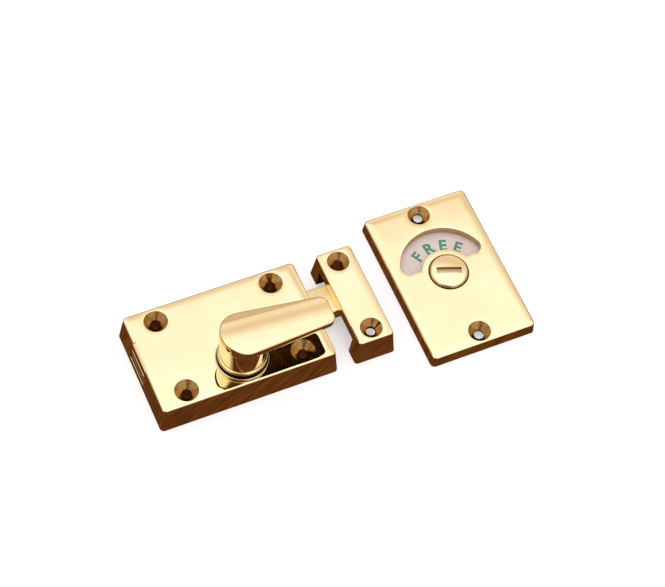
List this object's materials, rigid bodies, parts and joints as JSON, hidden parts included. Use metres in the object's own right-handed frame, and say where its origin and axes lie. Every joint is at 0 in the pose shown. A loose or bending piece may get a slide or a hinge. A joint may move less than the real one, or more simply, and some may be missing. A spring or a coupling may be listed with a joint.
{
  "type": "toilet indicator bolt",
  "caption": "Polished brass toilet door bolt set: a surface bolt thrown by a lever, its bridge keep, and an outside plate with an arched window, turning dial and coin release.",
  "frame": {"origin": "middle of the bolt case's back face, on the door's face", "axes": "+X the way the bolt is thrown, +Z off the door, +Y across the bolt, away from the lever's side"},
  "size_m": [0.1395, 0.0624, 0.0313],
  "materials": {
    "polished_brass": "mirror polished, lacquered",
    "plain_brass": "plain rolled",
    "spring_steel": "plain",
    "dial_enamel": "satin enamel"
  },
  "bodies": {
    "base": {"case": "polished_brass", "back_plate": "plain_brass", "back_plate_screws": "spring_steel", "guide_pin": "spring_steel", "friction_spring": "spring_steel", "lever_collar": "polished_brass", "keep": "polished_brass", "indicator_plate": "polished_brass", "dial_stop_pin": "spring_steel"},
    "lever": {"lever": "polished_brass", "lever_washer": "plain_brass", "lever_clip": "spring_steel", "follower": "plain_brass", "follower_clip": "spring_steel", "drive_pin": "spring_steel"},
    "bolt": {"bolt": "polished_brass"},
    "release": {"release_disc": "polished_brass", "dial": "dial_enamel", "dial_washer": "spring_steel", "dial_clip": "spring_steel"}
  },
  "joints": [
    {"name": "lever_turn", "type": "hinge", "parent": "base", "child": "lever", "pos_m": [0.0008, -0.0097, 0.012], "axis": [0, 0, 1], "range_deg": [0, 110]},
    {"name": "bolt_slide", "type": "slide", "parent": "base", "child": "bolt", "axis": [-1, 0, 0], "range_m": [0, 0.01295]},
    {"name": "release_turn", "type": "hinge", "parent": "base", "child": "release", "pos_m": [0.0855, -0.0009, 0.004], "axis": [0, 0, 1], "range_deg": [0, 110]}
  ],
  "couplings": [
    {"joint": "bolt_slide", "follows": "lever_turn", "m_per_rad": 0.0067414}
  ]
}
